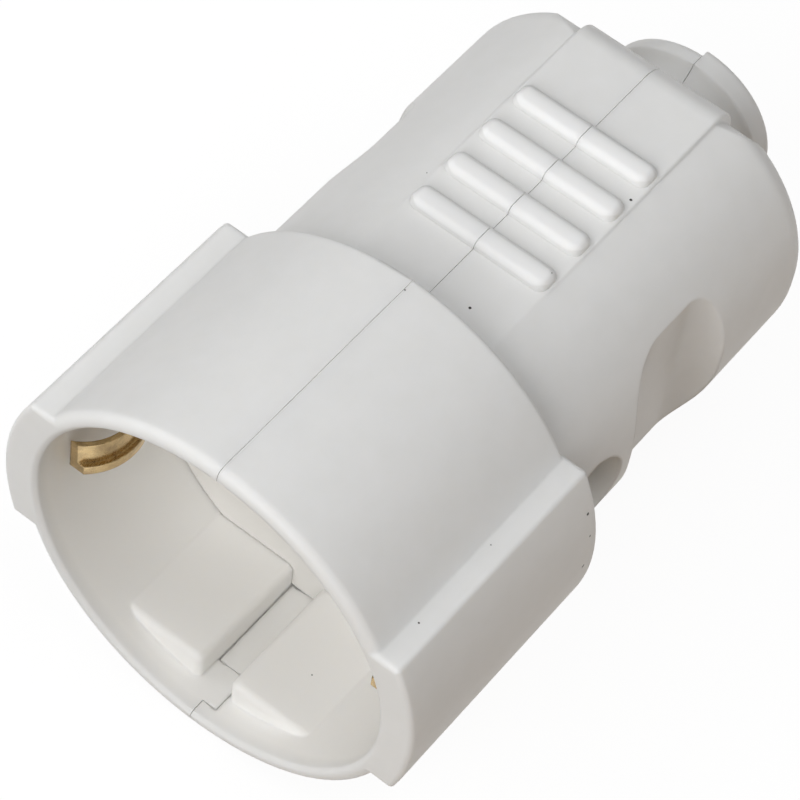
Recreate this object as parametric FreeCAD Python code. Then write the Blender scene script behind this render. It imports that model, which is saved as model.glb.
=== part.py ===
import FreeCAD, Part
import math
import os

from FreeCAD import Vector

# In-line power socket with two side earth contacts, in millimetres.
# The plug axis is X and the mouth rim is at x = 0: the plug leaves along +X, and everything lies behind it.
# The two half shells part on the plane y = 0. +Z is up through the ribbed panel.

# Mouth, recess and cup
recess_radius = 20.0
recess_depth = 17.5
cup_wall = 1.7
cup_length = 27.7
cup_back_wall = 1.8
cup_back_round = 0.5
rim_round = 1.0
mouth_round = 0.4

# Side wings over the earth clips
wing_rise = 2.1
wing_top = 11.4
wing_bottom = 7.6
wing_length = 28.0
wing_round = 0.5

# Guide blocks inside the recess
guide_height = 16.7
guide_start = 3.4
guide_round = 0.8
guide_slot = 3.5

# Grip behind the cup
grip_half_width = 20.0
grip_half_height = 17.0
grip_side_flat = 0.6
grip_end = 68.8
grip_end_round = 3.0
grip_crown_round = 7.0
grip_wall = 2.0
grip_back_wall = 3.0
cavity_drop = 0.4

# Ribbed thumb panels, above and below
panel_half_width = 8.3
panel_front_drop = 0.66
panel_back_drop = 0.3
panel_end = 68.55
panel_end_round = 3.8
panel_round = 0.25
rib_count = 4
rib_first = 38.9
rib_pitch = 5.34
rib_half_length = 7.9
rib_width = 2.9
rib_height = 0.9
rib_corner = 1.0
rib_round = 0.8

# Finger scoops in the two sides
scoop_depth = 3.2
scoop_front = 45.5
scoop_back = 50.2
scoop_front_radius = 8.3
scoop_back_radius = 4.0

# Cable collar
collar_end = 77.9
collar_left_end = 77.1
collar_neck_radius = 7.4
collar_rim_radius = 9.4
collar_rim_width = 2.0
collar_flare = 3.0
collar_round = 0.9
cable_hole_radius = 4.6

# Parting line with its lapped tongues in the mouth
parting_gap = 0.08
tongue_reach = 1.6
tongue_thickness = 0.8
tongue_start = 1.9
tongue_middle = 6.3

# Contacts and their carrier
pin_spacing = 19.0
pin_hole_radius = 2.8
carrier_thickness = 3.0
carrier_clearance = 0.2
chamber_radius = 4.0
chamber_wall = 1.0
chamber_length = 10.0
seat_depth = 1.7
seat_thickness = 1.5
sleeve_bore_radius = 2.45
sleeve_wall = 0.8
sleeve_slit = 0.8
sleeve_slit_length = 6.5
sleeve_end = 37.0
collar_thickness = 2.0
sliding_clearance = 0.1
terminal_length = 9.2
terminal_width = 7.0
terminal_height = 6.4
wire_hole_radius = 1.6
stop_rib_thickness = 1.6
wire_notch_radius = 2.2

# Spring rings round the sleeves
spring_thickness = 0.5
spring_width = 3.5
spring_setback = 3.0
spring_opening = 2.4

# Earth strip
strip_thickness = 0.5
strip_width = 4.0
strip_lip = 1.2
strip_lip_step = 0.5
clip_front = 4.5
clip_bend = 6.0
clip_left_peak = 9.3
clip_left_inset = 3.7
clip_right_peak = 7.0
clip_right_inset = 3.95
clip_arm_outset = 0.3
groove_clearance = 0.3
groove_lead = 1.2
earth_tab_width = 7.0
earth_tab_length = 8.0
earth_tab_centre = 7.0
earth_screw_setback = 4.4
earth_collar_wall = 0.9
earth_collar_depth = 1.4

# Screws
screw_radius = 1.7
screw_head_radius = 2.9
screw_head_height = 1.9
screw_slot_width = 0.8
screw_slot_depth = 0.9
screw_clearance = 0.1
washer_thickness = 0.8
washer_side = 6.4

# Housing screw, through both halves
housing_x = 32.8
housing_pocket_radius = 4.65
housing_pocket_floor = 15.0
housing_boss_radius = 3.2
housing_boss_wall = 1.5
nut_across_flats = 7.0
nut_height = 2.8

# Cable clamp
clamp_x = 60.0
clamp_half_span = 9.0
clamp_seat = 3.5
clamp_post_radius = 3.1
clamp_bar_width = 6.0
clamp_bar_thickness = 3.0
clamp_bar_overhang = 3.6
clamp_bar_round = 2.4
clamp_groove_radius = 4.5
clamp_screw_length = 11.0
saddle_thickness = 1.6
saddle_half_width = 6.0
backing_x = 54.0

# Derived places
cup_radius = recess_radius + cup_wall
wing_radius = cup_radius + wing_rise
scoop_floor = grip_half_width - scoop_depth
carrier_back = recess_depth + carrier_thickness
sleeve_radius = sleeve_bore_radius + sleeve_wall
pin_height = pin_spacing / 2
chamber_end = carrier_back + chamber_length
terminal_end = sleeve_end + terminal_length
terminal_mid = sleeve_end + terminal_length / 2
strip_back = carrier_back + strip_thickness
clip_arm_half_span = recess_radius + clip_arm_outset
grip_corner = grip_half_height - grip_side_flat
panel_front_height = grip_half_height - panel_front_drop
panel_back_height = grip_half_height - panel_back_drop
cavity_half_height = grip_half_height - grip_wall - cavity_drop
cavity_half_width = grip_half_width - grip_wall
cavity_end = grip_end - grip_back_wall
X = Vector(1, 0, 0)
Y = Vector(0, 1, 0)
Z = Vector(0, 0, 1)


def box(x_range, y_range, z_range):
    x0, x1 = sorted(x_range)
    y0, y1 = sorted(y_range)
    z0, z1 = sorted(z_range)
    return Part.makeBox(x1 - x0, y1 - y0, z1 - z0, Vector(x0, y0, z0))


def rod_x(radius, front, back, y=0.0, z=0.0):
    return Part.makeCylinder(radius, back - front, Vector(-back, y, z), X)


def rod_y(radius, y_range, x, z):
    y0, y1 = sorted(y_range)
    return Part.makeCylinder(radius, y1 - y0, Vector(x, y0, z), Y)


def tube_x(outer, inner, front, back, y=0.0, z=0.0):
    return rod_x(outer, front, back, y, z).cut(rod_x(inner, front, back, y, z))


def mirrored_y(shape):
    return shape.mirror(Vector(0, 0, 0), Y)


def mirrored_z(shape):
    return shape.mirror(Vector(0, 0, 0), Z)


def prism_y(points, y_range):
    wire = Part.makePolygon([Vector(x, y_range[0], z) for x, z in points + points[:1]])
    return Part.Face(wire).extrude(Vector(0, y_range[1] - y_range[0], 0))


def oval_wire(half_width, half_height, corner, depth):
    # Rounded rectangle across the plug axis
    y0 = half_width - corner
    z0 = half_height - corner
    bend = corner * math.sqrt(0.5)
    edges = []
    for sy, sz in ((1, 1), (-1, 1), (-1, -1), (1, -1)):
        side = Vector(-depth, sy * half_width, sz * z0)
        middle = Vector(-depth, sy * (y0 + bend), sz * (z0 + bend))
        crown = Vector(-depth, sy * y0, sz * half_height)
        start, end = (side, crown) if sy == sz else (crown, side)
        edges.append(Part.Arc(start, middle, end).toShape())
    outline = []
    for here, there in zip(edges, edges[1:] + edges[:1]):
        outline.append(here)
        outline.append(Part.makeLine(here.Vertexes[-1].Point, there.Vertexes[0].Point))
    return Part.Wire(outline)


def grip_form(inset, half_height, front, back):
    # Stretch of the grip, with its sides moved in by inset
    section = oval_wire(grip_half_width - inset, half_height, grip_corner - inset, back)
    return Part.Face(section).extrude(Vector(back - front, 0, 0))


def edges_at_x(shape, x):
    return [e for e in shape.Edges if all(abs(v.Point.x - x) < 1e-4 for v in e.Vertexes)]


def edges_from(shape, corner):
    return [e for e in shape.Edges if any(v.Point.distanceToPoint(corner) < 1e-4 for v in e.Vertexes)]


def cup_body():
    cup = rod_x(cup_radius, 0, cup_length)
    cup = cup.makeFillet(rim_round, edges_at_x(cup, 0))
    return cup.makeFillet(cup_back_round, edges_at_x(cup, -cup_length))


def wing_body():
    # Raised pad that follows the cup, with flat upper and lower sides
    inner = recess_radius / 2
    pad = rod_x(wing_radius, 0, wing_length)
    pad = pad.common(box((-wing_length, 0), (inner, wing_radius), (-wing_bottom, wing_top)))
    outside = [e for e in pad.Edges if max(v.Point.y for v in e.Vertexes) > inner + 1e-4]
    return pad.makeFillet(wing_round, outside)


def panel_level(depth):
    # Height of the panel, which rises from the cup to the cable end
    share = (depth - cup_length) / (panel_end - cup_length)
    return panel_front_height + share * (panel_back_height - panel_front_height)


def thumb_panel():
    # Flat band along the top, the cable end and the bottom
    upper = [(-cup_length, panel_front_height), (-panel_end, panel_back_height)]
    lower = [(x, -z) for x, z in reversed(upper)]
    band = prism_y(upper + lower, (-panel_half_width, panel_half_width))
    ends = [e for e in edges_at_x(band, -panel_end) if is_level(e)]
    band = band.makeFillet(panel_end_round, ends)
    rear = [e for e in band.Edges if all(v.Point.x < -cup_length - 1e-4 for v in e.Vertexes)]
    sides = [e for e in rear if is_side(e)]
    return band.makeFillet(panel_round, sides)


def is_level(edge):
    return abs(edge.Vertexes[0].Point.z - edge.Vertexes[1].Point.z) < 1e-4


def is_side(edge):
    return all(abs(abs(v.Point.y) - panel_half_width) < 1e-4 for v in edge.Vertexes)


def finger_scoop():
    # Hollow for a finger, cut across one side from top to bottom
    high = grip_half_height
    top = grip_half_width + rim_round
    hollow = box((-scoop_back, -scoop_front), (scoop_floor, top), (-high, high))
    rounds = []
    for depth, radius in ((scoop_front, scoop_front_radius), (scoop_back, scoop_back_radius)):
        rounds.append(Part.makeCylinder(radius, 2 * high, Vector(-depth, scoop_floor + radius, -high), Z))
    ends = (-scoop_back - scoop_back_radius, -scoop_front + scoop_front_radius)
    return hollow.fuse(rounds).common(box(ends, (scoop_floor, top), (-high, high)))


def crown_bound():
    # Block with a wide round where the grip turns down to the cable end, above and below
    wide = grip_half_width
    block = box((-grip_end, 0), (-wide, wide), (-grip_half_height, grip_half_height))
    ends = [e for e in edges_at_x(block, -grip_end) if is_level(e)]
    return block.makeFillet(grip_crown_round, ends)


def grip_body():
    grip = grip_form(0.0, grip_half_height, cup_length - cup_back_wall, grip_end)
    grip = grip.makeFillet(grip_end_round, edges_at_x(grip, -grip_end))
    grip = grip.common(crown_bound())
    crown = prism_y(
        [
            (-cup_length, panel_front_height),
            (-grip_end, panel_level(grip_end)),
            (-grip_end, grip_half_height),
            (-cup_length, grip_half_height),
        ],
        (-panel_half_width, panel_half_width),
    )
    grip = grip.cut([crown, mirrored_z(crown)]).fuse(thumb_panel())
    scoop = finger_scoop()
    return grip.cut([scoop, mirrored_y(scoop)])


def panel_ribs():
    half = rib_width / 2
    ribs = []
    for index in range(rib_count):
        depth = rib_first + index * rib_pitch
        low = panel_level(depth) - grip_wall / 2
        high = panel_level(depth) + rib_height
        rib = box((-depth - half, -depth + half), (-rib_half_length, rib_half_length), (low, high))
        rib = rib.makeFillet(rib_corner, [e for e in rib.Edges if not is_level(e)])
        top = [e for e in rib.Edges if all(abs(v.Point.z - high) < 1e-4 for v in e.Vertexes)]
        rib = rib.makeFillet(rib_round, top)
        ribs += [rib, mirrored_z(rib)]
    return ribs


def collar_body(end, half):
    # Neck that flares to a rounded rim, with the cable hole through it: half is the sign of y on that side
    root = -cavity_end
    rim = -collar_left_end + collar_rim_width
    flare = rim + collar_flare
    rise = collar_rim_radius - collar_neck_radius
    bend = (collar_flare ** 2 + rise ** 2) / (2 * rise)
    turn = math.asin(collar_flare / bend) / 2
    halfway = Vector(flare - bend * math.sin(turn), 0, collar_neck_radius + bend * (1 - math.cos(turn)))
    lip = collar_round * (1 - math.sqrt(0.5))
    back = -end
    low = cable_hole_radius
    high = collar_rim_radius
    outline = [
        Part.makeLine(Vector(root, 0, low), Vector(root, 0, collar_neck_radius)),
        Part.makeLine(Vector(root, 0, collar_neck_radius), Vector(flare, 0, collar_neck_radius)),
        Part.Arc(Vector(flare, 0, collar_neck_radius), halfway, Vector(rim, 0, high)).toShape(),
        Part.makeLine(Vector(rim, 0, high), Vector(back + collar_round, 0, high)),
        Part.Arc(
            Vector(back + collar_round, 0, high),
            Vector(back + lip, 0, high - lip),
            Vector(back, 0, high - collar_round),
        ).toShape(),
        Part.makeLine(Vector(back, 0, high - collar_round), Vector(back, 0, low + collar_round)),
        Part.Arc(
            Vector(back, 0, low + collar_round),
            Vector(back + lip, 0, low + lip),
            Vector(back + collar_round, 0, low),
        ).toShape(),
        Part.makeLine(Vector(back + collar_round, 0, low), Vector(root, 0, low)),
    ]
    turned = Part.Face(Part.Wire(outline)).revolve(Vector(0, 0, 0), X, 360)
    return turned.common(box((back, root), (0, half * high), (-high, high)))


def housing_cavity():
    cup = rod_x(recess_radius, 0, cup_length - cup_back_wall)
    mouth = Part.makeCone(recess_radius + mouth_round, recess_radius, mouth_round, Vector(0, 0, 0), X * -1)
    grip = grip_form(grip_wall, cavity_half_height, carrier_back, cavity_end)
    high = grip_half_height
    backing = box(
        (-scoop_back - scoop_back_radius - grip_wall, -scoop_front + scoop_front_radius),
        (scoop_floor - grip_wall, grip_half_width),
        (-high, high),
    )
    grip = grip.cut([backing, mirrored_y(backing)])
    return cup.fuse([mouth, grip, rod_x(cable_hole_radius, cavity_end - grip_wall, collar_end)])


def guide_blocks():
    root = recess_radius + cup_wall / 2
    corner = Vector(-guide_start, guide_slot / 2, -guide_height)
    block = box((-recess_depth, corner.x), (corner.y, recess_radius), (-root, corner.z))
    block = block.makeFillet(guide_round, edges_from(block, corner))
    block = block.common(rod_x(root, guide_start, recess_depth))
    pair = [block, mirrored_y(block)]
    return pair + [mirrored_z(b) for b in pair]


def carrier_seat():
    # Ring behind the carrier, open where the earth strip passes
    front = carrier_back + sliding_clearance
    ring = tube_x(recess_radius + cup_wall / 2, recess_radius - seat_depth, front, front + seat_thickness)
    half = strip_width / 2 + groove_clearance
    passage = box((-front - seat_thickness, -front), (-recess_radius, recess_radius), (-half, half))
    return ring.cut(passage)


def wall_middle(front, back):
    # Solid that ends inside the grip's wall, to bound what grows out of the wall
    bite = grip_wall / 2
    reach = scoop_floor - bite
    middle = grip_form(bite, cavity_half_height + bite, front, back)
    return middle.common(box((-back, -front), (-reach, reach), (-grip_half_height, grip_half_height)))


def stop_ribs():
    # Cross walls behind the wire terminals, with a notch for each wire
    front = terminal_end + sliding_clearance
    back = front + stop_rib_thickness
    low = pin_height - terminal_height / 2 - chamber_wall
    wall = box((-back, -front), (-cavity_half_width, cavity_half_width), (low, cavity_half_height))
    wall = wall.common(wall_middle(front, back)).cut(rod_x(wire_notch_radius, front, back, 0, pin_height))
    return [wall, mirrored_z(wall)]


def housing_bosses():
    wide = housing_pocket_radius + housing_boss_wall
    x = -housing_x
    shoulder = housing_pocket_floor - housing_boss_wall
    outer = rod_y(wide, (shoulder, cavity_half_width), x, 0)
    inner = rod_y(housing_boss_radius, (0, shoulder), x, 0)
    boss = outer.fuse(inner)
    return [boss, mirrored_y(boss)]


def hexagon_y(across_flats, y_range, x, z):
    corner = across_flats / math.sqrt(3)
    points = []
    for index in range(6):
        angle = math.radians(60 * index)
        points.append((x + corner * math.cos(angle), z + corner * math.sin(angle)))
    return prism_y(points, y_range)


def housing_pockets():
    x = -housing_x
    head = rod_y(housing_pocket_radius, (housing_pocket_floor, grip_half_width), x, 0)
    bore = rod_y(screw_radius + screw_clearance, (-grip_half_width, grip_half_width), x, 0)
    seat = housing_pocket_floor + nut_height
    nut = hexagon_y(nut_across_flats + 2 * screw_clearance, (-seat, -housing_pocket_floor), x, 0)
    mouth = rod_y(housing_pocket_radius, (-grip_half_width, -seat), x, 0)
    return [head, bore, nut, mouth]


def clip_grooves():
    half = strip_width / 2 + groove_clearance
    outer = clip_arm_half_span + strip_thickness + groove_clearance
    back = strip_back + groove_clearance
    grooves = []
    for root in (clip_root(clip_right_peak, clip_right_inset), clip_root(clip_left_peak, clip_left_inset)):
        front = root - groove_lead
        grooves.append(box((-back, -front), (recess_radius - seat_depth, outer), (-half, half)))
    right, left = grooves
    return [right, mirrored_y(left)]


def whole_housing():
    wing = wing_body()
    collars = [collar_body(collar_end, 1), collar_body(collar_left_end, -1)]
    outside = cup_body().fuse([wing, mirrored_y(wing), grip_body()] + collars + panel_ribs())
    hollow = outside.cut(housing_cavity())
    inside = guide_blocks() + [carrier_seat()] + stop_ribs() + housing_bosses()
    hollow = hollow.fuse(inside)
    return hollow.cut(clip_grooves() + housing_pockets())


def tongue_zone(front, back, side, level, grow=0.0):
    # Half of the wall's thickness beside the parting plane: side is the sign of y, level the sign of z
    outer = recess_radius + tongue_thickness + grow
    ring = tube_x(outer, recess_radius - tongue_thickness, front - grow, back + grow)
    reach = side * (tongue_reach + grow)
    zone = box((-back - grow, -front + grow), (-side * parting_gap, reach), (0, level * cup_radius))
    return ring.common(zone)


def tongue_zones(half, grow=0.0):
    # Each half carries a front tongue at one end of the parting plane and a rear one at the other
    return [
        tongue_zone(tongue_start, tongue_middle, -half, half, grow),
        tongue_zone(tongue_middle + parting_gap, recess_depth, -half, -half, grow),
    ]


def half_shell(housing, half):
    # half is the sign of y on that side
    side = box((-collar_end, 0), (half * parting_gap / 2, half * wing_radius), (-cup_radius, cup_radius))
    shell = housing.common(side).cut(tongue_zones(-half, parting_gap))
    tongues = [housing.common(zone) for zone in tongue_zones(half)]
    return shell.fuse(tongues)


def clamp_posts():
    # Posts and cable saddle that stand in the left half
    posts = []
    bottom = clamp_seat - clamp_screw_length
    bound = wall_middle(clamp_x - clamp_post_radius, clamp_x + clamp_post_radius)
    for z in (-clamp_half_span, clamp_half_span):
        post = rod_y(clamp_post_radius, (-grip_half_width, clamp_seat), -clamp_x, z)
        posts.append(post.cut(rod_y(screw_radius + screw_clearance, (bottom, clamp_seat), -clamp_x, z)))
    half = saddle_thickness / 2
    saddle = box(
        (-clamp_x - half, -clamp_x + half),
        (-grip_half_width, -parting_gap),
        (-saddle_half_width, saddle_half_width),
    )
    posts.append(saddle.cut(rod_x(cable_hole_radius, clamp_x - half, clamp_x + half)))
    return [post.common(bound) for post in posts]


def clamp_backing():
    # Cross wall ahead of the clamp in the right half, with a notch for the wires
    front = backing_x
    back = front + stop_rib_thickness
    wall = box((-back, -front), (parting_gap / 2, grip_half_width), (-grip_half_height, grip_half_height))
    return wall.common(wall_middle(front, back)).cut(rod_x(clamp_half_span, front, back))


def contact_carrier():
    disc = rod_x(recess_radius - carrier_clearance, recess_depth, carrier_back)
    chambers = []
    holes = []
    for z in (-pin_height, pin_height):
        chambers.append(rod_x(chamber_radius + chamber_wall, carrier_back, chamber_end, 0, z))
        holes.append(rod_x(chamber_radius, carrier_back, chamber_end, 0, z))
        holes.append(rod_x(pin_hole_radius, recess_depth, carrier_back, 0, z))
    return disc.fuse(chambers).cut(holes).removeSplitter()


def contact(z):
    # Slotted pin sleeve with a locating collar, and the wire terminal behind it
    body = rod_x(sleeve_radius, carrier_back, sleeve_end, 0, z)
    collar = rod_x(chamber_radius - sliding_clearance, chamber_end - collar_thickness, chamber_end, 0, z)
    half_width = terminal_width / 2
    half_height = terminal_height / 2
    block = box((-terminal_end, -sleeve_end), (-half_width, half_width), (z - half_height, z + half_height))
    solid = body.fuse([collar, block])
    slit_end = carrier_back + sleeve_slit_length
    half_slit = sleeve_slit / 2
    reach = chamber_radius
    return solid.cut(
        [
            rod_x(sleeve_bore_radius, carrier_back, sleeve_end - sleeve_wall, 0, z),
            rod_x(wire_hole_radius, terminal_mid - screw_radius, terminal_end, 0, z),
            rod_y(screw_radius + screw_clearance, (0, half_width), -terminal_mid, z),
            box((-slit_end, -carrier_back), (-half_slit, half_slit), (z - reach, z + reach)),
            box((-slit_end, -carrier_back), (-reach, reach), (z - half_slit, z + half_slit)),
        ]
    ).removeSplitter()


def sleeve_springs():
    springs = []
    inner = sleeve_radius + sliding_clearance / 2
    outer = inner + spring_thickness
    front = carrier_back + spring_setback
    back = front + spring_width
    for z in (-pin_height, pin_height):
        ring = tube_x(outer, inner, front, back, 0, z)
        side = math.copysign(1, z)
        gap = box((-back, -front), (-spring_opening / 2, spring_opening / 2), (z, z + side * outer))
        springs.append(ring.cut(gap))
    return Part.makeCompound(springs)


def clip_root(peak, inset):
    # Depth at which a clip's arc meets its straight arm
    rise = recess_radius - inset + clip_bend - clip_arm_half_span
    return peak + math.sqrt(clip_bend ** 2 - rise ** 2)


def clip_arc(peak, inset, step, back, z_range):
    # Bowed end of the strip on the right; step moves its inner face into the recess
    low, high = z_range
    centre = Vector(-peak, recess_radius - inset + clip_bend, low)
    outer = Part.makeCylinder(clip_bend + step, high - low, centre, Z)
    inner = Part.makeCylinder(clip_bend - strip_thickness, high - low, centre, Z)
    bound = box((-back, -clip_front), (0, clip_arm_half_span + strip_thickness), z_range)
    return outer.cut(inner).common(bound)


def earth_clip(peak, inset):
    half = strip_width / 2
    root = clip_root(peak, inset)
    side = (clip_arm_half_span, clip_arm_half_span + strip_thickness)
    arm = box((-strip_back, -root), side, (-half, half))
    bow = clip_arc(peak, inset, 0.0, strip_back, (-half, half))
    lip = clip_arc(peak, inset, strip_lip_step, root, (-half, -half + strip_lip))
    return arm.fuse([bow, lip])


def earth_strip():
    half = strip_width / 2
    bridge = box((-strip_back, -carrier_back), (-clip_arm_half_span, clip_arm_half_span), (-half, half))
    right = earth_clip(clip_right_peak, clip_right_inset)
    left = mirrored_y(earth_clip(clip_left_peak, clip_left_inset))
    tab_low = half - strip_thickness
    tab_y = (earth_tab_centre - earth_tab_width / 2, earth_tab_centre + earth_tab_width / 2)
    tab = box((-strip_back - earth_tab_length, -carrier_back), tab_y, (tab_low, half))
    x = -strip_back - earth_screw_setback
    hole = screw_radius + screw_clearance
    place = Vector(x, earth_tab_centre, tab_low - earth_collar_depth)
    collar = Part.makeCylinder(hole + earth_collar_wall, earth_collar_depth, place, Z)
    drill = Part.makeCylinder(hole, earth_collar_depth + strip_thickness, place, Z)
    strip = bridge.fuse([right, left, tab, collar]).cut(drill)
    return strip.removeSplitter()


def slotted_screw(seat, length, head_radius, direction):
    # seat is the underside of the head, and direction the way the head faces
    shank = Part.makeCylinder(screw_radius, length, seat, direction * -1)
    head = Part.makeCylinder(head_radius, screw_head_height, seat, direction)
    top = seat + direction * (screw_head_height - screw_slot_depth)
    slot = Part.makeBox(2 * head_radius, screw_slot_width, screw_slot_depth)
    slot.translate(Vector(-head_radius, -screw_slot_width / 2, 0))
    slot.Placement = FreeCAD.Placement(top, FreeCAD.Rotation(Z, direction)).multiply(slot.Placement)
    return shank.fuse(head).cut(slot).removeSplitter()


def terminal_screws():
    seat = terminal_width / 2
    screws = []
    for z in (-pin_height, pin_height):
        screws.append(slotted_screw(Vector(-terminal_mid, seat, z), seat, screw_head_radius, Y))
    return Part.makeCompound(screws)


def earth_screw():
    seat = strip_width / 2 + washer_thickness
    length = washer_thickness + strip_thickness + earth_collar_depth + screw_radius
    place = Vector(-strip_back - earth_screw_setback, earth_tab_centre, seat)
    return slotted_screw(place, length, screw_head_radius, Z)


def earth_washer():
    x = -strip_back - earth_screw_setback
    half = washer_side / 2
    low = strip_width / 2
    plate = box(
        (x - half, x + half),
        (earth_tab_centre - half, earth_tab_centre + half),
        (low, low + washer_thickness),
    )
    place = Vector(x, earth_tab_centre, low)
    return plate.cut(Part.makeCylinder(screw_radius + screw_clearance, washer_thickness, place, Z))


def clamp_bar():
    half = clamp_bar_width / 2
    reach = clamp_half_span + clamp_bar_overhang
    top = clamp_seat + clamp_bar_thickness
    bar = box((-clamp_x - half, -clamp_x + half), (clamp_seat, top), (-reach, reach))
    upright = [e for e in bar.Edges if abs(e.Vertexes[0].Point.y - e.Vertexes[1].Point.y) > 1e-4]
    bar = bar.makeFillet(clamp_bar_round, upright)
    cuts = [rod_x(clamp_groove_radius, clamp_x - half, clamp_x + half)]
    for z in (-clamp_half_span, clamp_half_span):
        cuts.append(rod_y(screw_radius + screw_clearance, (clamp_seat, top), -clamp_x, z))
    return bar.cut(cuts)


def clamp_screws():
    screws = []
    top = clamp_seat + clamp_bar_thickness
    for z in (-clamp_half_span, clamp_half_span):
        screws.append(slotted_screw(Vector(-clamp_x, top, z), clamp_screw_length, screw_head_radius, Y))
    return Part.makeCompound(screws)


def housing_screw():
    seat = Vector(-housing_x, housing_pocket_floor, 0)
    length = 2 * housing_pocket_floor + nut_height
    return slotted_screw(seat, length, screw_head_radius, Y)


def housing_nut():
    low = -housing_pocket_floor - nut_height
    body = hexagon_y(nut_across_flats, (low, -housing_pocket_floor), -housing_x, 0)
    return body.cut(rod_y(screw_radius + screw_clearance, (low, -housing_pocket_floor), -housing_x, 0))


def all_nodes():
    housing = whole_housing()
    return {
        "left_shell": half_shell(housing, -1).fuse(clamp_posts()),
        "right_shell": half_shell(housing, 1).fuse(clamp_backing()),
        "contact_carrier": contact_carrier(),
        "line_contact": contact(pin_height),
        "neutral_contact": contact(-pin_height),
        "sleeve_springs": sleeve_springs(),
        "earth_strip": earth_strip(),
        "terminal_screws": terminal_screws(),
        "earth_screw": earth_screw(),
        "earth_washer": earth_washer(),
        "clamp_bar": clamp_bar(),
        "clamp_screws": clamp_screws(),
        "housing_screw": housing_screw(),
        "housing_nut": housing_nut(),
    }


os.makedirs("parts", exist_ok=True)
for name, shape in all_nodes().items():
    shape.exportStep("parts/" + name + ".step")
    print(name, "solids", len(shape.Solids), "valid", shape.isValid(), "volume", round(shape.Volume, 1))
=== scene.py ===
import math

import bmesh
import bpy
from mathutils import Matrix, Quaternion, Vector


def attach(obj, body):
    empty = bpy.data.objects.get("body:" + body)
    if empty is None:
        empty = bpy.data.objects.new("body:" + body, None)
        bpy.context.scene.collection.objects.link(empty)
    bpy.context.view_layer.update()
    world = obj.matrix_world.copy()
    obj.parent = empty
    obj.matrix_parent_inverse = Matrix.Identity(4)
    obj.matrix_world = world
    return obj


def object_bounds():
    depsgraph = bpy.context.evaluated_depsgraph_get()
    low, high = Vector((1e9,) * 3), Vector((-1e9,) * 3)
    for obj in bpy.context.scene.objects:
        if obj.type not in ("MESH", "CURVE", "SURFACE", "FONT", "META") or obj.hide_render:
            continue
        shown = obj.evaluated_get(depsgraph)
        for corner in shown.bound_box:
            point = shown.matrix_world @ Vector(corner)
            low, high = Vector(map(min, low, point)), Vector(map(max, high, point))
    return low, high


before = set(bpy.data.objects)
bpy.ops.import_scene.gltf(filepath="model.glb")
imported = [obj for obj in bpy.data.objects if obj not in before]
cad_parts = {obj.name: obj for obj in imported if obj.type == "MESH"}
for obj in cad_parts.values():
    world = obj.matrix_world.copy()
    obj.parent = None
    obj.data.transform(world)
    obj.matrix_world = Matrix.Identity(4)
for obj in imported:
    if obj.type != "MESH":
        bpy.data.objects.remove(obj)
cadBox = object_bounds()
mm = 0.001
print("frame loaded,", len(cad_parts), "nodes")

# shader helpers: every pattern works on Object coordinates in millimetres

vectorSocket = ("Vector", "NodeSocketVector", None)
mixSockets = {"mask": 0, "first": 6, "second": 7, "result": 2}  # the colour sockets of a Mix node


def newMaterial(name):
    material = bpy.data.materials.new(name)
    material.use_nodes = True
    material.node_tree.nodes.clear()
    return material


def addNode(tree, kind, **values):
    node = tree.nodes.new(kind)
    for key, value in values.items():
        setattr(node, key, value)
    return node


def setInputs(node, **values):
    for key, value in values.items():
        node.inputs[key.replace("_", " ")].default_value = value
    return node


def linkInputs(tree, node, **sources):
    for key, source in sources.items():
        tree.links.new(source, node.inputs[key.replace("_", " ")])
    return node


def setOrLink(tree, socket, value):
    if isinstance(value, (tuple, list)):
        socket.default_value = (*value, 1.0)
    elif isinstance(value, (int, float)):
        socket.default_value = value
    else:
        tree.links.new(value, socket)


def newGroup(name, inputs, outputs):
    group = bpy.data.node_groups.new(name, "ShaderNodeTree")
    for socketName, socketType, value in inputs:
        socket = group.interface.new_socket(socketName, in_out="INPUT", socket_type=socketType)
        if value is not None:
            socket.default_value = value
    for socketName in outputs:
        group.interface.new_socket(socketName, in_out="OUTPUT", socket_type="NodeSocketFloat")
    return group, group.nodes.new("NodeGroupInput"), group.nodes.new("NodeGroupOutput")


def placeGroup(tree, group, vector, **values):
    node = addNode(tree, "ShaderNodeGroup", node_tree=group)
    setInputs(node, **values)
    return linkInputs(tree, node, Vector=vector)


def mathNode(tree, operation, first, second=None, clamp=False):
    node = addNode(tree, "ShaderNodeMath", operation=operation, use_clamp=clamp)
    for socket, value in zip(node.inputs, (first, second)):
        if value is not None:
            setOrLink(tree, socket, value)
    return node.outputs["Value"]


def vectorNode(tree, operation, first, second):
    node = addNode(tree, "ShaderNodeVectorMath", operation=operation)
    for socket, source in zip(node.inputs, (first, second)):
        tree.links.new(source, socket)
    return node.outputs["Value"]


def noiseNode(tree, vector, scale, detail, roughness=0.5, distortion=0.0):
    node = addNode(tree, "ShaderNodeTexNoise")
    setInputs(node, Detail=detail, Roughness=roughness, Distortion=distortion)
    setOrLink(tree, node.inputs["Scale"], scale)
    linkInputs(tree, node, Vector=vector)
    return node.outputs["Fac"]


def rangeNode(tree, value, low, high, newLow=0.0, newHigh=1.0):
    node = addNode(tree, "ShaderNodeMapRange", clamp=True)
    setInputs(node, From_Min=low, From_Max=high, To_Min=newLow, To_Max=newHigh)
    linkInputs(tree, node, Value=value)
    return node.outputs["Result"]


def softStep(tree, value, edge, soft, above=1.0):
    # the value above the edge, its opposite below, and a short fade between
    return rangeNode(tree, value, edge - soft, edge + soft, 1.0 - above, above)


def splitAxes(tree, vector):
    node = linkInputs(tree, addNode(tree, "ShaderNodeSeparateXYZ"), Vector=vector)
    return node.outputs


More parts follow.
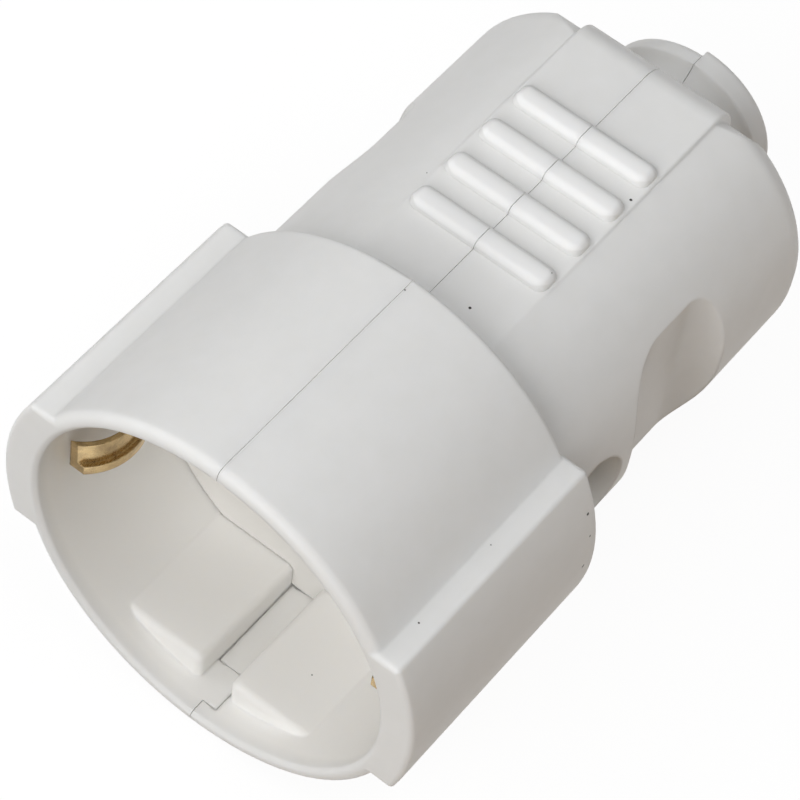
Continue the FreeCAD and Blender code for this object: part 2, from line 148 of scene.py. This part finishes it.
def reach(tree, first, second):
    # distance from the axis that is square to both
    squares = [mathNode(tree, "MULTIPLY", value, value) for value in (first, second)]
    return mathNode(tree, "SQRT", mathNode(tree, "ADD", *squares))


def domed(tree, value):
    # 1 at zero, falling as a parabola to 0 at one
    return mathNode(tree, "SUBTRACT", 1.0, mathNode(tree, "MULTIPLY", value, value), clamp=True)


def mixColor(tree, mask, first, second):
    node = addNode(tree, "ShaderNodeMix", data_type="RGBA", blend_type="MIX")
    for key, value in (("mask", mask), ("first", first), ("second", second)):
        setOrLink(tree, node.inputs[mixSockets[key]], value)
    return node.outputs[mixSockets["result"]]


def mixShader(tree, share, first, second):
    node = addNode(tree, "ShaderNodeMixShader")
    for socket, source in zip(node.inputs, (share, first, second)):
        tree.links.new(source, socket)
    return node.outputs["Shader"]


def setSurface(tree, kind, shader):
    linkInputs(tree, addNode(tree, kind), Surface=shader)


def coordinates(tree, stretch=(1.0, 1.0, 1.0)):
    source = addNode(tree, "ShaderNodeTexCoord")
    mapping = addNode(tree, "ShaderNodeMapping")
    setInputs(mapping, Scale=[part / mm for part in stretch])
    linkInputs(tree, mapping, Vector=source.outputs["Object"])
    return mapping.outputs["Vector"]


# moulding grain: a fine skin, a slow waviness and cloudy tone

grainPlan = {
    "grain": 3.2,
    "waves": 0.12,
    "clouds": 0.35,
    "fineShare": 0.06,  # height of the fine skin beside that of the waves
    "tone": (0.3, 0.7),
    "gloss": (0.25, 0.75),
}


def makeMouldedGrain(plan):
    group, given, out = newGroup(
        "mouldedGrain",
        [
            vectorSocket,
            ("Grain", "NodeSocketFloat", plan["grain"]),
            ("Waves", "NodeSocketFloat", plan["waves"]),
        ],
        ["Height", "Tone", "Gloss"],
    )
    vector = given.outputs["Vector"]
    fine = noiseNode(group, vector, given.outputs["Grain"], detail=2.0, roughness=0.6)
    slow = noiseNode(group, vector, given.outputs["Waves"], detail=1.0, roughness=0.4)
    cloud = noiseNode(group, vector, plan["clouds"], detail=4.0, roughness=0.55)
    height = mathNode(group, "ADD", mathNode(group, "MULTIPLY", fine, plan["fineShare"]), slow)
    tone = rangeNode(group, cloud, *plan["tone"])
    gloss = rangeNode(group, fine, *plan["gloss"])
    linkInputs(group, out, Height=height, Tone=tone, Gloss=gloss)
    return group


# speck: one small dark inclusion with a ragged edge

speckPlan = {"radius": 0.2, "ragged": 9.0, "least": 0.5, "edge": 0.9, "soft": 0.2}


def makeSpeck(plan):
    group, given, out = newGroup(
        "speck",
        [
            vectorSocket,
            ("Centre", "NodeSocketVector", None),
            ("Radius", "NodeSocketFloat", plan["radius"]),
        ],
        ["Mask"],
    )
    apart = vectorNode(group, "DISTANCE", given.outputs["Vector"], given.outputs["Centre"])
    rough = noiseNode(group, given.outputs["Vector"], plan["ragged"], detail=2.0)
    ragged = mathNode(group, "MULTIPLY", apart, mathNode(group, "ADD", rough, plan["least"]))
    ratio = mathNode(group, "DIVIDE", ragged, given.outputs["Radius"])
    linkInputs(group, out, Mask=softStep(group, ratio, plan["edge"], plan["soft"], above=0.0))
    return group


# drawn or rolled metal: lines along the stretch, and a dull film in patches

wearPlan = {"lines": 3.0, "patches": 0.45, "film": (0.42, 0.72), "gloss": (0.3, 0.7)}


def makeMetalWear(plan):
    group, given, out = newGroup(
        "metalWear",
        [vectorSocket, ("Lines", "NodeSocketVector", None)],
        ["Height", "Film", "Gloss"],
    )
    lines = noiseNode(group, given.outputs["Lines"], plan["lines"], detail=3.0, roughness=0.6)
    patches = noiseNode(
        group, given.outputs["Vector"], plan["patches"], detail=5.0, roughness=0.62, distortion=0.4
    )
    film = rangeNode(group, patches, *plan["film"])
    gloss = rangeNode(group, lines, *plan["gloss"])
    linkInputs(group, out, Height=lines, Film=film, Gloss=gloss)
    return group


# recess mask for painted light and shade: 1 within the mouth's round wall and the side pockets, 0 on the
# outer skin; the shell is painted paler there to lift the shade, the carrier painted darker as shade

recessPlan = {
    "radius": 20.3,
    "depth": 26.0,
    "wallSoft": 0.1,
    "rim": 1.2,
    "rimSoft": 0.6,
    "pocketX": -32.8,
    "pocketRadius": 4.75,
    "pocketSoft": 0.05,
}


def makePaintedRecessLightAndShadeMask(plan):
    group, given, out = newGroup("paintedRecessLightAndShadeMask", [vectorSocket], ["Mask"])
    axes = splitAxes(group, given.outputs["Vector"])
    outward = reach(group, axes["Y"], axes["Z"])
    within = softStep(group, outward, plan["radius"], plan["wallSoft"], above=0.0)
    behind = softStep(group, axes["X"], -plan["rim"], plan["rimSoft"], above=0.0)
    ahead = softStep(group, axes["X"], -plan["depth"], plan["wallSoft"])
    mouth = mathNode(group, "MULTIPLY", within, mathNode(group, "MULTIPLY", ahead, behind))
    along = mathNode(group, "SUBTRACT", axes["X"], plan["pocketX"])
    around = reach(group, along, axes["Z"])
    pocket = softStep(group, around, plan["pocketRadius"], plan["pocketSoft"], above=0.0)
    linkInputs(group, out, Mask=mathNode(group, "MAXIMUM", mouth, pocket))
    return group


# seam: the first mask is 1 on the faces between the halves, which are painted paler as painted light
# against the shade in the gap; Round is 0 beside them, where edges are crisp

seamPlan = {"half": 0.055, "halfSoft": 0.005, "clear": 0.7, "clearSoft": 0.2}


def makeSeamMask(plan):
    group, given, out = newGroup("seamMask", [vectorSocket], ["Joint", "Round"])
    apart = mathNode(group, "ABSOLUTE", splitAxes(group, given.outputs["Vector"])["Y"])
    paintedSeamLight = softStep(group, apart, plan["half"], plan["halfSoft"], above=0.0)
    clear = softStep(group, apart, plan["clear"], plan["clearSoft"])
    linkInputs(group, out, Joint=paintedSeamLight, Round=clear)
    return group


# grip ribs: Height is a full round over each rib, the second mask a painted highlight on the band ahead of
# its top, where the light catches it, and Foot the stretch of panel around it, which stays crisp

ribPlan = {
    "first": 38.9,
    "pitch": 5.34,
    "ribs": 4,
    "halfWidth": 1.45,
    "straight": 6.45,
    "level": 16.8,
    "levelSoft": 0.02,
    "rise": 0.15,
    "ahead": 0.55,
    "paintedHighlightFrom": 0.15,
    "footOut": 0.6,
    "footOutSoft": 0.2,
    "footDown": 1.1,
    "footDownSoft": 0.1,
}


def makeRibCrown(plan):
    group, given, out = newGroup("ribCrown", [vectorSocket], ["Height", "Rubbed", "Foot"])
    axes = splitAxes(group, given.outputs["Vector"])
    scaled = mathNode(group, "MULTIPLY", axes["X"], -1.0 / plan["pitch"])
    place = mathNode(group, "SUBTRACT", scaled, plan["first"] / plan["pitch"])
    nearest = mathNode(group, "MAXIMUM", mathNode(group, "ROUND", place), 0.0)
    nearest = mathNode(group, "MINIMUM", nearest, plan["ribs"] - 1)
    aside = mathNode(group, "MULTIPLY", mathNode(group, "SUBTRACT", place, nearest), plan["pitch"])
    beyond = mathNode(group, "SUBTRACT", mathNode(group, "ABSOLUTE", axes["Y"]), plan["straight"])
    apart = reach(group, aside, mathNode(group, "MAXIMUM", beyond, 0.0))
    height = mathNode(group, "ABSOLUTE", axes["Z"])
    high = softStep(group, height, plan["level"], plan["levelSoft"])
    dome = domed(group, mathNode(group, "DIVIDE", apart, plan["halfWidth"]))
    crown = mathNode(group, "MULTIPLY", dome, high)
    # painted highlight: a band ahead of each rib's top
    ahead = mathNode(group, "DIVIDE", mathNode(group, "ADD", aside, plan["ahead"]), plan["halfWidth"])
    top = rangeNode(group, crown, 0.0, plan["paintedHighlightFrom"])
    around = softStep(group, apart, plan["halfWidth"] + plan["footOut"], plan["footOutSoft"], above=0.0)
    above = softStep(group, height, plan["level"] - plan["footDown"], plan["footDownSoft"])
    linkInputs(
        group,
        out,
        Height=mathNode(group, "MULTIPLY", crown, plan["rise"]),
        Rubbed=mathNode(group, "MULTIPLY", top, domed(group, ahead)),
        Foot=mathNode(group, "MULTIPLY", around, above),
    )
    return group


mouldedGrain = makeMouldedGrain(grainPlan)
paintedRecessLightAndShadeMask = makePaintedRecessLightAndShadeMask(recessPlan)
seamMask = makeSeamMask(seamPlan)
ribCrown = makeRibCrown(ribPlan)
speckGroup = makeSpeck(speckPlan)
metalWear = makeMetalWear(wearPlan)
print("shader groups made")

# shell plastic: satin white, a little warm, with a few dark inclusions from the moulding; painted paler in
# the recess and along the seam to lift their shade, with a painted highlight on the ribs

shellFinish = {
    "pale": (0.86, 0.86, 0.852),
    "dull": (0.84, 0.84, 0.828),
    # painted light: paler within the recess and side pockets, lifting their shade
    "inside": (0.95, 0.94, 0.912),
    # painted highlight: paler on the front of each rib top, where the light catches it
    "paintedHighlight": (0.97, 0.97, 0.965),
    # painted light: the faces in the gap between the halves, paler to lift their shade
    "paintedSeamLight": (0.99, 0.985, 0.97),
    "speckColour": (0.035, 0.03, 0.028),
    "roughness": (0.30, 0.40),
    "sheen": 0.2,
    "depth": 0.3,
    "grain": 0.03,
    "edge": 0.5,
    "specks": [  # centre and radius
        ((-51.89, 7.60, 16.55), 0.15),
        ((-31.95, 3.81, 16.38), 0.16),
        ((-26.73, 22.62, 7.36), 0.18),
        ((-26.76, 23.38, 4.38), 0.13),
        ((-26.09, 23.78, 0.42), 0.20),
        ((-5.26, 19.19, 11.40), 0.10),
        ((-15.85, 19.11, 11.40), 0.07),
        ((-9.22, 7.09, -16.70), 0.08),
        ((-41.73, -8.64, 16.19), 0.06),
        ((-39.57, 7.35, 17.28), 0.06),
        ((-26.13, 0.12, 21.70), 0.09),
    ],
}

# carrier plastic: a plainer white for the insert and the clamp bar, painted darker as shade within the
# recess

carrierFinish = {
    "pale": (0.86, 0.85, 0.82),
    "dull": (0.83, 0.82, 0.79),
    # painted shade: darker within the recess
    "inside": (0.78, 0.765, 0.735),
    "paintedHighlight": (0.86, 0.85, 0.82),
    "paintedSeamLight": (0.86, 0.85, 0.82),
    "roughness": (0.45, 0.6),
    "sheen": 0.3,
    "depth": 0.0,
    "grain": 0.03,
    "edge": 0.1,
    "specks": [],
}

plasticPlan = {"ior": 1.5, "glow": (1.0, 0.95, 0.88), "glowScale": 1.2}


def bump(tree, height, depth, edge, keep=None):
    # moulded and stamped edges are never knife sharp, so the skin starts from rounded normals;
    # depth and edge are in millimetres, and keep is 0 where an edge stays crisp
    rounded = addNode(tree, "ShaderNodeBevel", samples=6)
    if keep is None:
        setInputs(rounded, Radius=edge * mm)
    else:
        linkInputs(tree, rounded, Radius=mathNode(tree, "MULTIPLY", keep, edge * mm))
    node = setInputs(addNode(tree, "ShaderNodeBump"), Strength=1.0, Distance=depth * mm)
    linkInputs(tree, node, Height=height, Normal=rounded.outputs["Normal"])
    return node.outputs["Normal"]


def makePlastic(name, finish, plan):
    material = newMaterial(name)
    tree = material.node_tree
    vector = coordinates(tree)
    grain = placeGroup(tree, mouldedGrain, vector).outputs
    seam = placeGroup(tree, seamMask, vector).outputs
    inside = placeGroup(tree, paintedRecessLightAndShadeMask, vector).outputs
    crown = placeGroup(tree, ribCrown, vector).outputs
    color = mixColor(tree, grain["Tone"], finish["pale"], finish["dull"])
    # painted light along the seam
    color = mixColor(tree, seam["Joint"], color, finish["paintedSeamLight"])
    # painted light and shade over the recess and pockets
    color = mixColor(tree, inside["Mask"], color, finish["inside"])
    # painted highlight on the ribs
    color = mixColor(tree, crown["Rubbed"], color, finish["paintedHighlight"])
    for centre, radius in finish["specks"]:
        speck = placeGroup(tree, speckGroup, vector, Centre=centre, Radius=radius).outputs
        color = mixColor(tree, speck["Mask"], color, finish["speckColour"])
    skin = mathNode(tree, "MULTIPLY", grain["Height"], finish["grain"])
    height = mathNode(tree, "ADD", skin, crown["Height"])
    rounding = mathNode(tree, "SUBTRACT", seam["Round"], crown["Foot"], clamp=True)
    shader = addNode(tree, "ShaderNodeBsdfPrincipled")
    setInputs(
        shader,
        IOR=plan["ior"],
        Specular_IOR_Level=finish["sheen"],
        Subsurface_Weight=finish["depth"],
        Subsurface_Radius=plan["glow"],
        Subsurface_Scale=plan["glowScale"] * mm,
    )
    linkInputs(
        tree,
        shader,
        Base_Color=color,
        Roughness=rangeNode(tree, grain["Gloss"], 0.0, 1.0, *finish["roughness"]),
        Normal=bump(tree, height, depth=1.0, edge=finish["edge"], keep=rounding),
    )
    setSurface(tree, "ShaderNodeOutputMaterial", shader.outputs["BSDF"])
    return material


# metals: brass strip and contacts, spring steel, plated screws

metalFinishes = {
    "stripBrass": {
        "bright": (0.70, 0.515, 0.265),
        "film": (0.36, 0.25, 0.13),
        "roughness": (0.2, 0.34),
        "lines": (1, 6, 6),
        "edge": 0.18,
    },
    "contactBrass": {
        "bright": (0.78, 0.6, 0.3),
        "film": (0.5, 0.34, 0.15),
        "roughness": (0.24, 0.4),
        "lines": (1, 5, 5),
        "edge": 0.1,
    },
    "springSteel": {
        "bright": (0.58, 0.58, 0.58),
        "film": (0.36, 0.35, 0.34),
        "roughness": (0.22, 0.36),
        "lines": (5, 1, 1),
        "edge": 0.1,
    },
    "screwSteel": {
        "bright": (0.7, 0.7, 0.69),
        "film": (0.5, 0.49, 0.45),
        "roughness": (0.28, 0.42),
        "lines": (3, 3, 1),
        "edge": 0.15,
    },
}
lineDepth = 0.004


def makeMetal(name, finish):
    material = newMaterial(name)
    tree = material.node_tree
    wear = placeGroup(tree, metalWear, coordinates(tree))
    linkInputs(tree, wear, Lines=coordinates(tree, finish["lines"]))
    shader = setInputs(addNode(tree, "ShaderNodeBsdfPrincipled"), Metallic=1.0)
    linkInputs(
        tree,
        shader,
        Base_Color=mixColor(tree, wear.outputs["Film"], finish["bright"], finish["film"]),
        Roughness=rangeNode(tree, wear.outputs["Gloss"], 0.0, 1.0, *finish["roughness"]),
        Normal=bump(tree, wear.outputs["Height"], depth=lineDepth, edge=finish["edge"]),
    )
    setSurface(tree, "ShaderNodeOutputMaterial", shader.outputs["BSDF"])
    return material


finishes = {name: makeMetal(name, finish) for name, finish in metalFinishes.items()}
finishes["shellPlastic"] = makePlastic("shellPlastic", shellFinish, plasticPlan)
finishes["carrierPlastic"] = makePlastic("carrierPlastic", carrierFinish, plasticPlan)

nodeFinishes = {
    "left_shell": "shellPlastic",
    "right_shell": "shellPlastic",
    "contact_carrier": "carrierPlastic",
    "line_contact": "contactBrass",
    "neutral_contact": "contactBrass",
    "sleeve_springs": "springSteel",
    "earth_strip": "stripBrass",
    "terminal_screws": "screwSteel",
    "earth_screw": "screwSteel",
    "earth_washer": "screwSteel",
    "clamp_bar": "carrierPlastic",
    "clamp_screws": "screwSteel",
    "housing_screw": "screwSteel",
    "housing_nut": "screwSteel",
}
for nodeName, finishName in nodeFinishes.items():
    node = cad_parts[nodeName]
    node.data.materials.clear()
    node.data.materials.append(finishes[finishName])
print("finishes set on", len(nodeFinishes), "nodes")


def newPiece(name, form, material):
    mesh = bpy.data.meshes.new(name)
    form.to_mesh(mesh)
    form.free()
    mesh.materials.append(material)
    piece = bpy.data.objects.new(name, mesh)
    bpy.context.collection.objects.link(piece)
    return piece


# parting lip: a thin dust lip that closes the gap between the halves just below the skin, top and bottom

lipPlan = {
    "path": [  # x and z along the upper skin, from the mouth to the collar
        (-0.9, 21.55),
        (-27.3, 21.55),
        (-27.3, 16.1),
        (-64.6, 16.1),
        (-67.1, 15.25),
        (-68.2, 12.6),
        (-68.2, 6.9),
        (-76.6, 6.9),
    ],
    "depth": 0.55,
    "thickness": 0.06,
}


def makePartingLip(plan):
    form = bmesh.new()
    half = plan["thickness"] / 2
    corners = [form.verts.new((x * mm, -half * mm, z * mm)) for x, z in plan["path"]]
    line = [form.edges.new(pair) for pair in zip(corners, corners[1:])]
    raised = bmesh.ops.extrude_edge_only(form, edges=line)["geom"]
    moved = [item for item in raised if isinstance(item, bmesh.types.BMVert)]
    bmesh.ops.translate(form, verts=moved, vec=(0.0, plan["thickness"] * mm, 0.0))
    bmesh.ops.recalc_face_normals(form, faces=form.faces)
    if form.faces[:][0].normal.z < 0:  # the skin side faces up before the lip gets its depth
        bmesh.ops.reverse_faces(form, faces=form.faces)
    bmesh.ops.solidify(form, geom=form.faces[:], thickness=plan["depth"] * mm)
    everything = form.verts[:] + form.edges[:] + form.faces[:]
    bmesh.ops.mirror(form, geom=everything, axis="Z", merge_dist=-1.0)  # nothing is merged
    bmesh.ops.recalc_face_normals(form, faces=form.faces)
    lip = newPiece("partingLip", form, finishes["shellPlastic"])
    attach(lip, "root")
    heights = [round(corner.co.z / mm, 2) for corner in lip.data.vertices]
    print("parting lip made,", len(lip.data.polygons), "faces, z from", min(heights), "to", max(heights))


makePartingLip(lipPlan)

# floor: white to the camera and in reflections, with a soft shadow

floorPlan = {
    "half": 1.5,
    "drop": 0.05 * mm,
    "paper": (0.86, 0.86, 0.86),
    "bounce": (0.24, 0.215, 0.18),  # the colour that it throws back up
    "warmBounce": (0.30, 0.19, 0.08),  # the same on the warm side, towards the right and the back
    "warmSide": (-0.5, 0.87, 0.0),
    "warmFade": (-0.02, 0.04),
    "shadow": 0.12,
    "white": 1.05,
}


def makeFloorPaper(plan):
    material = newMaterial("floorPaper")
    tree = material.node_tree
    path = addNode(tree, "ShaderNodeLightPath")
    seen = mathNode(tree, "MAXIMUM", path.outputs["Is Camera Ray"], path.outputs["Is Glossy Ray"])
    seen = mathNode(tree, "MAXIMUM", seen, path.outputs["Is Transmission Ray"])
    place = addNode(tree, "ShaderNodeTexCoord").outputs["Object"]
    warmSide = addNode(tree, "ShaderNodeCombineXYZ")
    setInputs(warmSide, **dict(zip("XYZ", plan["warmSide"])))
    side = vectorNode(tree, "DOT_PRODUCT", place, warmSide.outputs["Vector"])
    warm = rangeNode(tree, side, *plan["warmFade"])
    bounce = mixColor(tree, warm, plan["bounce"], plan["warmBounce"])
    diffuse = addNode(tree, "ShaderNodeBsdfDiffuse")
    linkInputs(tree, diffuse, Color=mixColor(tree, seen, bounce, plan["paper"]))
    white = addNode(tree, "ShaderNodeEmission")
    setInputs(white, Color=(1.0, 1.0, 1.0, 1.0), Strength=plan["white"])
    share = mathNode(tree, "MULTIPLY", seen, 1.0 - plan["shadow"])
    surface = mixShader(tree, share, diffuse.outputs["BSDF"], white.outputs["Emission"])
    setSurface(tree, "ShaderNodeOutputMaterial", surface)
    return material


def makeFloor(plan):
    lowest = Vector(cadBox[0]).z - plan["drop"]
    form = bmesh.new()
    bmesh.ops.create_grid(form, x_segments=1, y_segments=1, size=plan["half"])
    bmesh.ops.translate(form, verts=form.verts[:], vec=(0.0, 0.0, lowest))
    floor = newPiece("floor", form, makeFloorPaper(plan))
    print("floor made,", len(floor.data.polygons), "face")


makeFloor(floorPlan)

# light: a large soft lamp ahead of the mouth, weaker ones on the left and high on the right, and a dim room

lampPlans = {
    "frontLamp": {"turn": 4.0, "rise": 31.0, "away": 0.7, "width": 0.6, "power": 3.4},
    "leftLamp": {"turn": -78.0, "rise": 36.0, "away": 0.7, "width": 0.6, "power": 2.1},
    "highLamp": {"turn": 112.0, "rise": 60.0, "away": 0.7, "width": 0.6, "power": 1.85},
}
lampAim = Vector((-0.03, 0.0, 0.0))
roomLight = {"color": (1.0, 1.0, 1.0), "strength": 0.05, "backdrop": 1.0}


def aimed(obj, place, aim, roll=0.0):
    obj.location = place
    turn = (Vector(aim) - Vector(place)).to_track_quat("-Z", "Y")
    obj.rotation_mode = "QUATERNION"
    obj.rotation_quaternion = turn @ Quaternion((0.0, 0.0, 1.0), math.radians(roll))
    bpy.context.collection.objects.link(obj)


def makeLamp(name, plan):
    turn, rise = math.radians(plan["turn"]), math.radians(plan["rise"])
    way = Vector((math.cos(rise) * math.cos(turn), math.cos(rise) * math.sin(turn), math.sin(rise)))
    lamp = bpy.data.lights.new(name, "AREA")
    lamp.shape = "SQUARE"
    lamp.size = plan["width"]
    lamp.energy = plan["power"]
    aimed(bpy.data.objects.new(name, lamp), lampAim + way * plan["away"], lampAim)


def makeRoom(plan):
    world = bpy.data.worlds.new("room")
    bpy.context.scene.world = world
    world.use_nodes = True
    tree = world.node_tree
    tree.nodes.clear()
    color = (*plan["color"], 1.0)
    soft = setInputs(addNode(tree, "ShaderNodeBackground"), Color=color, Strength=plan["strength"])
    white = setInputs(addNode(tree, "ShaderNodeBackground"), Color=color, Strength=plan["backdrop"])
    path = addNode(tree, "ShaderNodeLightPath")
    surface = mixShader(
        tree, path.outputs["Is Camera Ray"], soft.outputs["Background"], white.outputs["Background"]
    )
    setSurface(tree, "ShaderNodeOutputWorld", surface)


for lampName, lampPlan in lampPlans.items():
    makeLamp(lampName, lampPlan)
makeRoom(roomLight)

# camera: high over the mouth's right side, turned a little

cameraPlan = {
    "place": (0.139109, 0.094298, 0.277404),
    "aim": (-0.022064, 0.003920, 0.012470),
    "roll": 10.366,
    "lens": 161.17,
    "sensor": 36.0,
    "nearest": 0.01,
}


def makeCamera(plan):
    camera = bpy.data.cameras.new("photoCamera")
    camera.lens = plan["lens"]
    camera.sensor_width = plan["sensor"]
    camera.clip_start = plan["nearest"]
    obj = bpy.data.objects.new("photoCamera", camera)
    aimed(obj, plan["place"], plan["aim"], plan["roll"])
    bpy.context.scene.camera = obj


makeCamera(cameraPlan)
bpy.context.scene.view_settings.view_transform = "Standard"
print("light and camera set")
